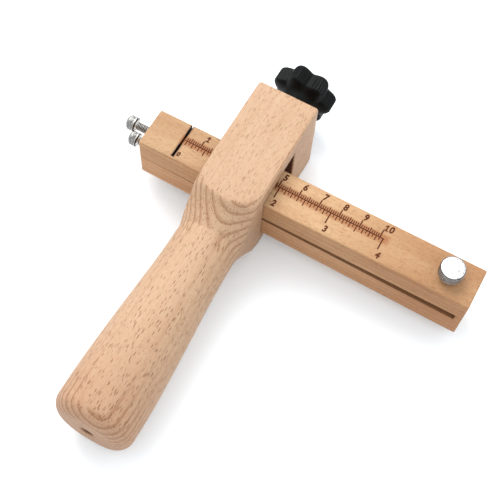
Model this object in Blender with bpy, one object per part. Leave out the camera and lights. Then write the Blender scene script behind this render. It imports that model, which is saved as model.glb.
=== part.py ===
"""Strap cutter: a beech handle whose square mortise carries a two-rail crossbar with a blade in its end.

The frame is in metres, +Z up. X runs along the crossbar (the blade end is at -X), Y along the handle
(the grip is at -Y, the clamp knob at +Y), and Z = 0 is the flat base of the head. The origin lies on
that base, straight under the middle of the crossbar. Dimensions below are in millimetres.
"""
import math

import bmesh
import bpy
from mathutils import Vector

MM = 0.001
GAP = 0.3                                   # play between pieces that touch

# Handle: one turned blank whose head is planed to an oblong block
HEAD_WIDTH = 30.4                           # along X
HEAD_HEIGHT = 45.0
HEAD_FRONT = 40.8                           # Y of the face that carries the clamp knob
HEAD_EDGE = 1.2                             # radius of the block's long edges
AXIS_Z = HEAD_HEIGHT / 2                    # height of the turning axis
SHOULDER_Y = -10.5                          # where the turning first meets the block's corners
SHOULDER_CREST_RADIUS = 27.5
SHOULDER_BREAK_Y = -18.6                    # where the gentle run-in turns into the steep shoulder
SHOULDER_BREAK_RADIUS = 24.3
NECK_Y = -33.0                              # foot of the shoulder
NECK_RADIUS = 14.6
GRIP_FULL_Y = -118.0                        # where the grip is thickest
GRIP_FULL_RADIUS = 18.1
GRIP_END_Y = -130.5
GRIP_END_ROUND = 7.0
GRIP_SQUARENESS = 0.035                     # how far the grip's section swells at its four quarters
GRIP_TALLNESS = 0.10                        # how much taller than wide the grip is where it is thickest
GRIP_DROP = 2.3                             # how far its axis sinks there, so that the tool lies level
HANG_HOLE_RADIUS = 2.3
HANG_HOLE_DEPTH = 14.0

# Crossbar: two rails that lie on each other at the blade end and on a step at the far end
BAR_LEFT = -49.5                            # X of the blade end
BAR_RIGHT = 113.5
BAR_HALF_DEPTH = 10.0                       # half of the 20 mm along Y
RAIL_HEIGHT = 12.5
RAIL_BEVEL = 0.5
LOWER_RAIL_Z = 9.1                          # underside of the lower rail
STEP_LENGTH = 3.2                           # fulcrum step at the right end
UPPER_RISE = 2.0                            # how far the upper rail climbs on its way to the step
LOWER_FALL = 1.8                            # how far the lower rail sinks on its way there
PIVOT_X = BAR_RIGHT - STEP_LENGTH / 2
RAIL_OPENING = math.radians(0.88)           # widest tilt of the upper rail, 2.2 mm at the blade

# Mortise
MORTISE_FLOOR_Z = LOWER_RAIL_Z - LOWER_FALL - GAP
MORTISE_ROOF_Z = 37.6
MORTISE_NEAR_Y = -BAR_HALF_DEPTH - GAP
MORTISE_FAR_Y = 18.8

# Blade and the slit that holds it
SLIT_X = -32.45
SLIT_WIDTH = 1.2
SLIT_WEB = 1.4                              # wood left on the grip side of the slit
BLADE_THICKNESS = 0.5
BLADE_DEPTH = 17.6
BLADE_HEIGHT = 23.6
BLADE_BASE_Z = LOWER_RAIL_Z + 0.4
BLADE_BEVEL = 2.0                           # width of the ground edge

# Blade clamping screws
SCREW_RADIUS = 2.0
SCREW_BORE_RADIUS = 2.4
SCREW_HEAD_RADIUS = 3.5
SCREW_HEAD_LENGTH = 4.6
SCREW_STANDOFF = 7.4                        # bare shank between the end face and the head
SCREW_SOCKET_RADIUS = 1.7
SCREW_SOCKET_DEPTH = 2.2
INSERT_RADIUS = 3.2
INSERT_LENGTH = 9.5
UPPER_SCREW_Z = 28.9
LOWER_SCREW_Z = 15.4

# Thickness thumbscrew
THUMB_X = 100.1
THUMB_HEAD_RADIUS = 5.6
THUMB_HEAD_HEIGHT = 6.3
THUMB_COLLAR_RADIUS = 3.6
THUMB_COLLAR_HEIGHT = 1.2
THUMB_KNURLS = 28
THUMB_KNURL_DEPTH = 0.35
THUMB_TIP_Z = 10.4
THUMB_INSERT_LENGTH = 9.0
INSERT_SINK = 0.1                           # how far its top lies below the sloping wood

# Clamp: star knob on a stud, threaded insert in the head, and pressure pad in the mortise
CLAMP_Z = 23.0                              # height of the clamp's axis
STUD_RADIUS = 4.0
STUD_BORE_RADIUS = 4.4
STUD_NOSE_RADIUS = 2.6
CLAMP_INSERT_RADIUS = 6.2
CLAMP_INSERT_LENGTH = 14.0
PAD_RADIUS = 8.0
PAD_THICKNESS = 3.0
PAD_SOCKET_RADIUS = 3.1
PAD_SOCKET_DEPTH = 1.6
KNOB_HUB_Y = 43.2                           # face of the hub that looks at the head
KNOB_RIM_Y = 54.0
KNOB_RIM_LENGTH = 9.6
KNOB_HUB_RADIUS = 7.4
KNOB_NECK_RADIUS = 9.6
KNOB_LOBES = 7
KNOB_PHASE = math.radians(4.0)              # first lobe, from +X towards +Z
KNOB_TIP_RADIUS = 15.5
KNOB_SCALLOP_RADIUS = 12.3
KNOB_CHAMFER = 1.3


def clear_scene():
    for thing in list(bpy.data.objects):
        bpy.data.objects.remove(thing, do_unlink=True)


def make_material(name, colour, roughness, metallic=0.0):
    material = bpy.data.materials.new(name)
    material.use_nodes = True
    shader = material.node_tree.nodes["Principled BSDF"]
    shader.inputs["Base Color"].default_value = (*colour, 1.0)
    shader.inputs["Roughness"].default_value = roughness
    shader.inputs["Metallic"].default_value = metallic
    return material


def make_object(name, rings_mesh, material=None, origin=(0.0, 0.0, 0.0), parent=None):
    """Turn a bmesh in millimetres, measured from the frame's origin, into an object with its own origin."""
    start = Vector(origin)
    for vertex in rings_mesh.verts:
        vertex.co = (vertex.co - start) * MM
    bmesh.ops.recalc_face_normals(rings_mesh, faces=rings_mesh.faces)
    mesh = bpy.data.meshes.new(name)
    rings_mesh.to_mesh(mesh)
    rings_mesh.free()
    thing = bpy.data.objects.new(name, mesh)
    bpy.context.scene.collection.objects.link(thing)
    thing.location = start * MM
    if parent is not None:
        thing.parent = parent
        thing.location = start * MM - world_origin(parent)
    if material is not None:
        mesh.materials.append(material)
    return thing


def world_origin(thing):
    place = thing.location.copy()
    if thing.parent is not None:
        place = place + world_origin(thing.parent)
    return place


def loft(rings):
    """Close a skin over rings of points that all have the same count."""
    skin = bmesh.new()
    rows = [[skin.verts.new(point) for point in ring] for ring in rings]
    count = len(rows[0])
    for row, following in zip(rows, rows[1:]):
        for i in range(count):
            j = (i + 1) % count
            skin.faces.new((row[i], row[j], following[j], following[i]))
    skin.faces.new(reversed(rows[0]))
    skin.faces.new(rows[-1])
    return skin


def along(axis, distance, u, v):
    """A point at a distance along an axis, with u and v across it, keeping a right-handed order."""
    if axis == "X":
        return (distance, u, v)
    if axis == "Y":
        return (v, distance, u)
    return (u, v, distance)


def turned(axis, profile, centre=(0.0, 0.0), steps=32):
    """A solid turned about an axis; profile is (distance, radius) from one end to the other."""
    rings = []
    for distance, radius in profile:
        ring = []
        for i in range(steps):
            angle = 2 * math.pi * i / steps
            u = centre[0] + radius * math.cos(angle)
            v = centre[1] + radius * math.sin(angle)
            ring.append(along(axis, distance, u, v))
        rings.append(ring)
    return loft(rings)


def prism(axis, outline, start, stop):
    """An outline of (u, v) points extruded along an axis."""
    return loft([[along(axis, distance, u, v) for u, v in outline] for distance in (start, stop)])


def box(x_range, y_range, z_range):
    outline = [(y_range[0], z_range[0]), (y_range[1], z_range[0]),
               (y_range[1], z_range[1]), (y_range[0], z_range[1])]
    return prism("X", outline, *x_range)


def bevel(thing, width, segments=2):
    modifier = thing.modifiers.new("edges", "BEVEL")
    modifier.width = width * MM
    modifier.segments = segments
    modifier.limit_method = "ANGLE"
    modifier.angle_limit = math.radians(30)


def combine(thing, tool, operation):
    tool.hide_render = True
    tool.display_type = "WIRE"
    modifier = thing.modifiers.new(tool.name, "BOOLEAN")
    modifier.operation = operation
    modifier.solver = "EXACT"
    modifier.object = tool


def cut(thing, name, solid):
    combine(thing, make_object("cut_" + name, solid), "DIFFERENCE")


def smooth(thing, angle=30.0):
    thing.data.shade_smooth()
    thing.data.set_sharp_from_angle(angle=math.radians(angle))


def blend(start, stop, share):
    """Ease from one value to another, level at both ends."""
    share = min(max(share, 0.0), 1.0)
    return start + (stop - start) * (1 - math.cos(math.pi * share)) / 2


def block_reach(angle, half_width, half_height, edge):
    """Distance from the middle to the outline of an oblong with round corners, in one direction."""
    across = abs(math.cos(angle))
    upward = abs(math.sin(angle))
    corner_u = half_width - edge
    corner_v = half_height - edge
    if upward * half_width <= across * corner_v:
        return half_width / across
    if across * half_height <= upward * corner_u:
        return half_height / upward
    middle = across * corner_u + upward * corner_v
    return middle + math.sqrt(middle ** 2 - corner_u ** 2 - corner_v ** 2 + edge ** 2)


def turned_reach(y):
    """Radius of the turning along Y, from the grip's rounded end to the shoulder."""
    if y < GRIP_END_Y + GRIP_END_ROUND:
        depth = (GRIP_END_Y + GRIP_END_ROUND - y) / GRIP_END_ROUND
        return GRIP_FULL_RADIUS - GRIP_END_ROUND * (1 - math.sqrt(max(0.0, 1 - depth ** 2)))
    if y < NECK_Y:
        return blend(NECK_RADIUS, GRIP_FULL_RADIUS, (NECK_Y - y) / (NECK_Y - GRIP_FULL_Y))
    if y < SHOULDER_BREAK_Y:
        share = (y - NECK_Y) / (SHOULDER_BREAK_Y - NECK_Y)
        return NECK_RADIUS + (SHOULDER_BREAK_RADIUS - NECK_RADIUS) * share * (0.45 + 0.55 * share)
    share = (y - SHOULDER_BREAK_Y) / (SHOULDER_Y - SHOULDER_BREAK_Y)
    return SHOULDER_BREAK_RADIUS + (SHOULDER_CREST_RADIUS - SHOULDER_BREAK_RADIUS) * share


def handle_angles():
    """Directions of a section's points: even steps, and closer ones around the block's corners."""
    corner = math.atan2(HEAD_HEIGHT, HEAD_WIDTH)
    even_steps = 40
    angles = [2 * math.pi * i / even_steps for i in range(even_steps)]
    for middle in (corner, math.pi - corner, math.pi + corner, -corner):
        near = [middle + math.radians(offset) for offset in (-3.0, -1.5, 0.0, 1.5, 3.0)]
        angles = [a for a in angles if abs(math.remainder(a - middle, 2 * math.pi)) > math.radians(4.5)]
        angles = angles + [a % (2 * math.pi) for a in near]
    return sorted(angles)


def handle_ring(y, inset=0.0):
    """One section: the oblong block, cut down to the turned radius wherever that is smaller."""
    fullness = blend(0.0, 1.0, (NECK_Y - y) / (NECK_Y - GRIP_FULL_Y))
    middle_z = AXIS_Z - GRIP_DROP * fullness
    tallness = 1 + GRIP_TALLNESS * fullness
    widening = 0.6 * max(0.0, NECK_Y - y)
    half_width = HEAD_WIDTH / 2 - inset + widening
    half_height = HEAD_HEIGHT / 2 - inset + widening
    ring = []
    for angle in handle_angles():
        reach = block_reach(angle, half_width, half_height, HEAD_EDGE)
        if y < SHOULDER_Y:
            fade = min(1.0, max(0.0, (NECK_Y - y) / 30))
            swell = 1 + GRIP_SQUARENESS * fade * (1 - math.cos(4 * angle)) / 2
            reach = min(reach, turned_reach(y) * swell)
        ring.append(along("Y", y, middle_z + tallness * reach * math.sin(angle), reach * math.cos(angle)))
    return ring


def handle_stations():
    """Where the sections stand along Y: close together at the round end and over the shoulder."""
    round_steps = 5
    stations = []
    for step in range(round_steps):
        angle = math.pi / 2 * step / round_steps
        stations.append(GRIP_END_Y + GRIP_END_ROUND * (1 - math.sin(math.pi / 2 - angle)))
    for start, stop, steps in ((GRIP_END_Y + GRIP_END_ROUND, NECK_Y, 9), (NECK_Y, SHOULDER_BREAK_Y, 7),
                               (SHOULDER_BREAK_Y, SHOULDER_Y, 4)):
        stations = stations + [start + (stop - start) * step / steps for step in range(steps)]
    return stations + [SHOULDER_Y]


def make_handle(beech):
    rings = [handle_ring(y) for y in handle_stations()]
    rings.append(handle_ring(HEAD_FRONT - HEAD_EDGE))
    rings.append(handle_ring(HEAD_FRONT - HEAD_EDGE / 3, HEAD_EDGE / 3))
    rings.append(handle_ring(HEAD_FRONT, HEAD_EDGE))
    handle = make_object("handle", loft(rings), beech)
    reach = HEAD_WIDTH
    cut(handle, "mortise", box((-reach, reach), (MORTISE_NEAR_Y, MORTISE_FAR_Y),
                               (MORTISE_FLOOR_Z, MORTISE_ROOF_Z)))
    pocket_y = HEAD_FRONT - CLAMP_INSERT_LENGTH - GAP
    bore = [(0.0, STUD_BORE_RADIUS + GAP), (pocket_y, STUD_BORE_RADIUS + GAP),
            (pocket_y + 0.01, CLAMP_INSERT_RADIUS + GAP), (HEAD_FRONT + 1, CLAMP_INSERT_RADIUS + GAP)]
    cut(handle, "clamp_bore", turned("Y", bore, (CLAMP_Z, 0.0)))
    hang_hole = [(GRIP_END_Y - 1, HANG_HOLE_RADIUS), (GRIP_END_Y + HANG_HOLE_DEPTH, HANG_HOLE_RADIUS)]
    cut(handle, "hang_hole", turned("Y", hang_hole, (AXIS_Z - GRIP_DROP, 0.0), 16))
    smooth(handle, 25.0)
    return handle


def slit_solid():
    return box((SLIT_X - SLIT_WIDTH / 2, SLIT_X + SLIT_WIDTH / 2),
               (-BAR_HALF_DEPTH + SLIT_WEB, BAR_HALF_DEPTH + 1), (0.0, HEAD_HEIGHT))


def end_bore(rail, name, height):
    """Insert pocket and screw bore in from the blade end, as far as the slit."""
    pocket = [(BAR_LEFT - 1, INSERT_RADIUS + GAP), (BAR_LEFT + INSERT_LENGTH + GAP, INSERT_RADIUS + GAP)]
    bore = [(BAR_LEFT - 1, SCREW_BORE_RADIUS), (SLIT_X, SCREW_BORE_RADIUS)]
    cut(rail, name + "_pocket", turned("X", pocket, (0.0, height), 24))
    cut(rail, name + "_bore", turned("X", bore, (0.0, height), 24))


def thumb_bore(rail, name, radius, z_range):
    cut(rail, name, turned("Z", [(z_range[0], radius), (z_range[1], radius)], (THUMB_X, 0.0), 24))


def lower_rail_top(x):
    slope = LOWER_FALL / (BAR_RIGHT - STEP_LENGTH - BAR_LEFT)
    return LOWER_RAIL_Z + RAIL_HEIGHT - slope * (x - BAR_LEFT)


def thumb_insert_base():
    return lower_rail_top(THUMB_X) - INSERT_SINK - THUMB_INSERT_LENGTH


def make_lower_rail(beech):
    top = LOWER_RAIL_Z + RAIL_HEIGHT
    step_x = BAR_RIGHT - STEP_LENGTH
    outline = [(LOWER_RAIL_Z, BAR_LEFT), (top, BAR_LEFT), (lower_rail_top(step_x), step_x),
               (top + UPPER_RISE, step_x), (top + UPPER_RISE, BAR_RIGHT),
               (lower_rail_top(BAR_RIGHT) - RAIL_HEIGHT, BAR_RIGHT)]
    solid = prism("Y", outline, -BAR_HALF_DEPTH, BAR_HALF_DEPTH)
    rail = make_object("lower_rail", solid, beech, (0.0, 0.0, LOWER_RAIL_Z))
    bevel(rail, RAIL_BEVEL)
    cut(rail, "lower_slit", slit_solid())
    end_bore(rail, "lower_screw", LOWER_SCREW_Z)
    thumb_bore(rail, "thumb_insert_pocket", INSERT_RADIUS + GAP, (thumb_insert_base() - GAP, top + 1))
    thumb_bore(rail, "thumb_tip_bore", SCREW_BORE_RADIUS, (0.0, top + 1))
    return rail


def upper_rail_underside(x):
    """Height of the sloping underside: shut at the blade end, resting on the step at the far end."""
    rest = LOWER_RAIL_Z + RAIL_HEIGHT + GAP
    slope = UPPER_RISE / (BAR_RIGHT - STEP_LENGTH - BAR_LEFT)
    return rest + slope * (x - BAR_LEFT)


def pivot_point():
    return (PIVOT_X, 0.0, LOWER_RAIL_Z + RAIL_HEIGHT + UPPER_RISE + GAP / 2)


def make_upper_rail(beech, lower_rail):
    low_left = upper_rail_underside(BAR_LEFT)
    low_right = upper_rail_underside(BAR_RIGHT)
    outline = [(low_left, BAR_LEFT), (low_left + RAIL_HEIGHT, BAR_LEFT),
               (low_right + RAIL_HEIGHT, BAR_RIGHT), (low_right, BAR_RIGHT)]
    solid = prism("Y", outline, -BAR_HALF_DEPTH, BAR_HALF_DEPTH)
    rail = make_object("upper_rail", solid, beech, pivot_point(), lower_rail)
    bevel(rail, RAIL_BEVEL)
    cut(rail, "upper_slit", slit_solid())
    end_bore(rail, "upper_screw", UPPER_SCREW_Z)
    thumb_bore(rail, "thumb_clearance", SCREW_BORE_RADIUS, (LOWER_RAIL_Z, HEAD_HEIGHT))
    return rail


def make_insert(name, axis, start, length, centre, radii, brass, parent=None, steps=24):
    """A threaded bush: a plain sleeve with a raised band at each end."""
    outer, bore = radii
    band = 1.2
    waist = outer - 0.4
    outside = [(start, outer), (start + band, outer), (start + band + 0.4, waist),
               (start + length - band - 0.4, waist), (start + length - band, outer), (start + length, outer)]
    middle = start + length / 2
    origin = along(axis, middle, centre[0], centre[1])
    sleeve = make_object(name, turned(axis, outside, centre, steps), brass, origin, parent)
    cut(sleeve, name + "_bore", turned(axis, [(start - 1, bore), (start + length + 1, bore)], centre, steps))
    smooth(sleeve)
    return sleeve


def make_blade(steel, lower_rail):
    """An oblong blade on edge, ground on both sides along its far edge."""
    half = BLADE_THICKNESS / 2
    back = -BAR_HALF_DEPTH + SLIT_WEB + GAP
    edge = back + BLADE_DEPTH
    flat = 0.05
    outline = [(SLIT_X - half, back), (SLIT_X + half, back), (SLIT_X + half, edge - BLADE_BEVEL),
               (SLIT_X + flat, edge), (SLIT_X - flat, edge), (SLIT_X - half, edge - BLADE_BEVEL)]
    solid = prism("Z", outline, BLADE_BASE_Z, BLADE_BASE_Z + BLADE_HEIGHT)
    return make_object("blade", solid, steel, (SLIT_X, 0.0, BLADE_BASE_Z), lower_rail)


def make_blade_screw(name, height, steel, parent):
    head_start = BAR_LEFT - SCREW_STANDOFF - SCREW_HEAD_LENGTH
    head_stop = BAR_LEFT - SCREW_STANDOFF
    tip = SLIT_X - BLADE_THICKNESS / 2 - GAP
    profile = [(head_start, SCREW_HEAD_RADIUS - 0.5), (head_start + 0.5, SCREW_HEAD_RADIUS),
               (head_stop, SCREW_HEAD_RADIUS), (head_stop + 0.02, SCREW_RADIUS),
               (tip - 0.5, SCREW_RADIUS), (tip, SCREW_RADIUS - 0.5)]
    solid = turned("X", profile, (0.0, height), 24)
    screw = make_object(name, solid, steel, (head_stop, 0.0, height), parent)
    socket = [(head_start - 1, SCREW_SOCKET_RADIUS), (head_start + SCREW_SOCKET_DEPTH, SCREW_SOCKET_RADIUS)]
    cut(screw, name + "_socket", turned("X", socket, (0.0, height), 6))
    smooth(screw)
    return screw


def make_thumbscrew(steel, upper_rail):
    rest = upper_rail_underside(THUMB_X) + RAIL_HEIGHT + GAP
    head_z = rest + THUMB_COLLAR_HEIGHT
    top_z = head_z + THUMB_HEAD_HEIGHT
    rings = []
    steps = THUMB_KNURLS * 2
    for z, radius, knurl in ((THUMB_TIP_Z, SCREW_RADIUS - 0.5, 0), (THUMB_TIP_Z + 0.5, SCREW_RADIUS, 0),
                             (rest, SCREW_RADIUS, 0), (rest + 0.02, THUMB_COLLAR_RADIUS, 0),
                             (head_z, THUMB_COLLAR_RADIUS, 0), (head_z + 0.02, THUMB_HEAD_RADIUS - 0.6, 0),
                             (head_z + 0.5, THUMB_HEAD_RADIUS, 1), (top_z - 0.6, THUMB_HEAD_RADIUS, 1),
                             (top_z, THUMB_HEAD_RADIUS - 0.7, 0)):
        ring = []
        for i in range(steps):
            angle = 2 * math.pi * i / steps
            reach = radius - knurl * THUMB_KNURL_DEPTH * (i % 2)
            ring.append((THUMB_X + reach * math.cos(angle), reach * math.sin(angle), z))
        rings.append(ring)
    screw = make_object("thumbscrew", loft(rings), steel, (THUMB_X, 0.0, rest), upper_rail)
    smooth(screw)
    return screw


def make_clamp_pad(brass):
    front = BAR_HALF_DEPTH + GAP
    back = front + PAD_THICKNESS
    edge = 0.5
    profile = [(front, PAD_RADIUS - edge), (front + edge, PAD_RADIUS),
               (back - edge, PAD_RADIUS), (back, PAD_RADIUS - edge)]
    pad = make_object("clamp_pad", turned("Y", profile, (CLAMP_Z, 0.0)), brass, (0.0, back, CLAMP_Z))
    socket = [(back - PAD_SOCKET_DEPTH, PAD_SOCKET_RADIUS), (back + 1, PAD_SOCKET_RADIUS)]
    cut(pad, "pad_socket", turned("Y", socket, (CLAMP_Z, 0.0), 24))
    smooth(pad)
    return pad


def make_clamp_stud(steel, pad):
    nose_y = BAR_HALF_DEPTH + 2 * GAP + PAD_THICKNESS - PAD_SOCKET_DEPTH
    shoulder_y = BAR_HALF_DEPTH + GAP + PAD_THICKNESS + 0.5
    tail_y = KNOB_RIM_Y + KNOB_RIM_LENGTH / 2
    profile = [(nose_y, STUD_NOSE_RADIUS - 0.4), (nose_y + 0.4, STUD_NOSE_RADIUS),
               (shoulder_y, STUD_NOSE_RADIUS), (shoulder_y + 1.4, STUD_RADIUS), (tail_y, STUD_RADIUS)]
    solid = turned("Y", profile, (CLAMP_Z, 0.0))
    stud = make_object("clamp_stud", solid, steel, (0.0, KNOB_HUB_Y, CLAMP_Z), pad)
    smooth(stud)
    return stud


def knob_ring(y, tip, scallop):
    """One outline of the star: round lobes with a cosine scallop between them."""
    steps_per_lobe = 12
    ring = []
    for i in range(KNOB_LOBES * steps_per_lobe):
        share = i / steps_per_lobe
        wave = (1 + math.cos(2 * math.pi * share)) / 2
        reach = scallop + (tip - scallop) * wave ** 0.6
        angle = 2 * math.pi * share / KNOB_LOBES + KNOB_PHASE
        ring.append(along("Y", y, CLAMP_Z + reach * math.sin(angle), reach * math.cos(angle)))
    return ring


def make_star_knob(plastic, pad):
    rim_stop = KNOB_RIM_Y + KNOB_RIM_LENGTH
    sections = [(KNOB_HUB_Y, KNOB_HUB_RADIUS, KNOB_HUB_RADIUS),
                (KNOB_RIM_Y - 1.5, KNOB_NECK_RADIUS, KNOB_NECK_RADIUS),
                (KNOB_RIM_Y, KNOB_TIP_RADIUS - KNOB_CHAMFER, KNOB_SCALLOP_RADIUS - KNOB_CHAMFER),
                (KNOB_RIM_Y + KNOB_CHAMFER, KNOB_TIP_RADIUS, KNOB_SCALLOP_RADIUS),
                (rim_stop - KNOB_CHAMFER, KNOB_TIP_RADIUS, KNOB_SCALLOP_RADIUS),
                (rim_stop, KNOB_TIP_RADIUS - KNOB_CHAMFER, KNOB_SCALLOP_RADIUS - KNOB_CHAMFER),
                (rim_stop + 0.8, KNOB_SCALLOP_RADIUS - 3.0, KNOB_SCALLOP_RADIUS - 3.0)]
    rings = [knob_ring(*section) for section in sections]
    knob = make_object("star_knob", loft(rings), plastic, (0.0, KNOB_HUB_Y, CLAMP_Z), pad)
    bore = [(KNOB_HUB_Y - 1, STUD_RADIUS + GAP), (KNOB_RIM_Y + KNOB_RIM_LENGTH / 2 + GAP, STUD_RADIUS + GAP)]
    cut(knob, "knob_bore", turned("Y", bore, (CLAMP_Z, 0.0)))
    smooth(knob)
    return knob


def build():
    clear_scene()
    handle_beech = make_material("handle_beech", (0.72, 0.49, 0.31), 0.6)
    rail_beech = make_material("rail_beech", (0.70, 0.45, 0.26), 0.6)
    zinc = make_material("zinc_steel", (0.66, 0.66, 0.65), 0.3, 1.0)
    nickel = make_material("nickel_plate", (0.82, 0.82, 0.81), 0.22, 1.0)
    blade_steel = make_material("blade_steel", (0.45, 0.46, 0.47), 0.28, 1.0)
    brass = make_material("brass", (0.72, 0.54, 0.25), 0.35, 1.0)
    plastic = make_material("black_plastic", (0.02, 0.02, 0.02), 0.5)

    make_handle(handle_beech)
    make_insert("clamp_insert", "Y", HEAD_FRONT - CLAMP_INSERT_LENGTH, CLAMP_INSERT_LENGTH, (CLAMP_Z, 0.0),
                (CLAMP_INSERT_RADIUS, STUD_BORE_RADIUS), brass, None, 32)
    pad = make_clamp_pad(brass)
    make_clamp_stud(zinc, pad)
    make_star_knob(plastic, pad)

    lower_rail = make_lower_rail(rail_beech)
    upper_rail = make_upper_rail(rail_beech, lower_rail)
    screw_radii = (INSERT_RADIUS, SCREW_BORE_RADIUS)
    for name, height, rail in (("upper", UPPER_SCREW_Z, upper_rail), ("lower", LOWER_SCREW_Z, lower_rail)):
        make_insert(name + "_screw_insert", "X", BAR_LEFT, INSERT_LENGTH, (0.0, height), screw_radii,
                    brass, rail)
        make_blade_screw(name + "_blade_screw", height, zinc, rail)
    make_insert("thumbscrew_insert", "Z", thumb_insert_base(), THUMB_INSERT_LENGTH, (THUMB_X, 0.0),
                screw_radii, brass, lower_rail)
    make_thumbscrew(nickel, upper_rail)
    make_blade(blade_steel, lower_rail)


build()
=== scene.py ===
"""Looks of the strap cutter: beech handle and rails, burnt ruler, knurled and threaded metal, ribbed knob.

Lengths are written in millimetres in the part's own frame and scaled to metres when a mesh is made.
"""
import math

import bpy
from mathutils import Euler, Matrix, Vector, noise


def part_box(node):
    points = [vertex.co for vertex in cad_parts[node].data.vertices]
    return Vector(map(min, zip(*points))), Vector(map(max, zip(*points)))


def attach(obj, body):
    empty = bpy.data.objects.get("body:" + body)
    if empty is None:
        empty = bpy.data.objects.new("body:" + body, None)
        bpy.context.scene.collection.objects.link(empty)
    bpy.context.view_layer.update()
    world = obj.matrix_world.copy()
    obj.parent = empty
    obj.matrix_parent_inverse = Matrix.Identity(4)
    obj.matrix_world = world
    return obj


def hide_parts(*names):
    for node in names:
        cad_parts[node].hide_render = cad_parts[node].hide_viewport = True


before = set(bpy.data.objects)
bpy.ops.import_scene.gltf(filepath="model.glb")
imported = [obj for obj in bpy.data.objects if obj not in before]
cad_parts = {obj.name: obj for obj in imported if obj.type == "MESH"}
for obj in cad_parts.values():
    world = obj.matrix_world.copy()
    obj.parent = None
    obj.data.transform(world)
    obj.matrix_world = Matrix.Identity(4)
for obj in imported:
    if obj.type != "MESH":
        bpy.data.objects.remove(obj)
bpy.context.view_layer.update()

MM = 0.001

# Handle
HEAD_HALF_WIDTH = 15.2
HEAD_HALF_HEIGHT = 22.5
HEAD_FRONT = 40.8
HEAD_EDGE = 1.2
AXIS_Z = 22.5
SHOULDER_Y = -10.5
SHOULDER_CREST = 27.5
SHOULDER_BREAK_Y = -18.6
SHOULDER_BREAK = 24.3
NECK_Y = -33.0
NECK_RADIUS = 14.6
GRIP_FULL_Y = -118.0
GRIP_FULL_RADIUS = 18.1
GRIP_END_Y = -130.5
GRIP_END_ROUND = 7.0
GRIP_TALLNESS = 0.10
GRIP_DROP = 2.3
HANG_RADIUS = 2.9

# Mortise
MORTISE_Y = (-10.3, 18.8)
MORTISE_Z = (7.0, 37.6)

# Rails
BAR_LEFT = -49.5
BAR_RIGHT = 113.5
BAR_HALF = 10.0
RAIL_HEIGHT = 12.5
RAIL_EDGE = 0.6
RAIL_INNER_EDGE = 0.18
LOWER_Z = 9.1
STEP_LENGTH = 3.2
UPPER_RISE = 2.0
LOWER_FALL = 1.8
TILT = UPPER_RISE / (BAR_RIGHT - STEP_LENGTH - BAR_LEFT)
SLOPE = LOWER_FALL / (BAR_RIGHT - STEP_LENGTH - BAR_LEFT)
UPPER_LEFT_Z = LOWER_Z + RAIL_HEIGHT + 0.3
SLIT_X = -32.45
SLIT_HALF = 0.6
SLIT_LOOK_HALF = 0.50
SLIT_NEAR_Y = -8.6
SLIT_HALF_LENGTH = 10.3
UPPER_SCREW_Z = 28.9
LOWER_SCREW_Z = 15.4
SCREW_MIDDLE_Z = (UPPER_SCREW_Z + LOWER_SCREW_Z) / 2
SCREW_OFFSET_Z = (UPPER_SCREW_Z - LOWER_SCREW_Z) / 2
THUMB_X = 100.1
BLADE_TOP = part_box("blade")[1][2] / MM

# Clamp
CLAMP_Z = 23.0
KNOB_HUB_Y = 43.2
KNOB_RIM_Y = 54.0
KNOB_RIM_LENGTH = 9.6
KNOB_LOBES = 7
KNOB_PHASE = math.radians(4.0)

# Ruler
RULER_ZERO = -33.7
BASELINE_Y = 1.4
BASELINE_WIDTH = 0.52
MARK_GAP = 0.01
MARK_PROUD = 0.03
MARK_SUNK = 0.15
CENTIMETRE_ROW_Y = 6.9
CENTIMETRE_HEIGHT = 3.2
INCH_ROW_Y = -7.0
INCH_HEIGHT = 3.1
NUMERAL_SLANT = 0.10
INCH = 25.4

# Marks by what their count divides by: divisor, length, width
MILLIMETRE_MARKS = ((10, 3.5, 0.62), (5, 2.2, 0.46), (1, 1.55, 0.46))
SIXTEENTH_MARKS = ((16, 5.5, 0.62), (8, 3.0, 0.52), (2, 2.1, 0.48), (1, 1.2, 0.42))

# Threads: radius, pitch, depth
M4_THREAD = (2.0, 0.7, 0.34)
M8_THREAD = (4.0, 1.25, 0.6)

# Linear colours of dark spots; the mortise, hang hole, rail gap, slit, groove and blade-top ones are painted
# shade
FLECK = (0.19, 0.080, 0.032)
# painted shade inside the mortise
MORTISE_SHADE = (0.070, 0.022, 0.008)
# painted shade inside the hang hole
HANG_HOLE_SHADE = (0.12, 0.045, 0.018)
# painted shade in the gap between the rails
GAP_SHADE = (0.150, 0.050, 0.012)
# painted shade in the blade's slit and on its rim
SLIT_SHADE = (0.020, 0.007, 0.003)
# a brown band beside the slit
SLIT_SIDE_BROWN = (0.19, 0.075, 0.028)
TOASTED = (0.30, 0.095, 0.024)
METAL_SPOT = (0.12, 0.10, 0.08)
# painted shade in thread and knurl grooves, standing in for their dark reflections
GROOVE_SHADE = (0.045, 0.036, 0.030)
# painted shade along the blade's top edge, which sits down in the slit
BLADE_TOP_SHADE = (0.012, 0.007, 0.005)

# Studio; the light and the camera are in metres and degrees
FLOOR_HALF = 4000.0
FLOOR_Z = -0.05
FLOOR_GLOW = (0.60, 0.86, 1.0)
DOME_UP = (-0.10, 0.30, 0.95)
DOME_SHARE = (0.05, 0.75)
DOME_STRENGTH = (0.54, 1.52)
DOME_COLOUR = (0.965, 0.985, 1.0, 1.0)
KEY_PLACE = (-0.60, 0.55, 1.10)
KEY_TARGET = (0.02, 0.0, 0.0)
CAMERA_PLACE = (0.09673, -0.19753, 0.42232)
CAMERA_TURN = (25.459, -2.154, 29.158)
CAMERA_LENS = 71.84
CAMERA_SHIFT = (-0.0021, -0.0114)


# ---------------------------------------------------------------- mesh tools

def mesh_piece(name, points, faces, sharp=30.0):
    mesh = bpy.data.meshes.new(name)
    mesh.from_pydata([(x * MM, y * MM, z * MM) for x, y, z in points], [], faces)
    mesh.update()
    piece = bpy.data.objects.new(name, mesh)
    bpy.context.scene.collection.objects.link(piece)
    mesh.shade_smooth()
    mesh.set_sharp_from_angle(angle=math.radians(sharp))
    return piece


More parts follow.
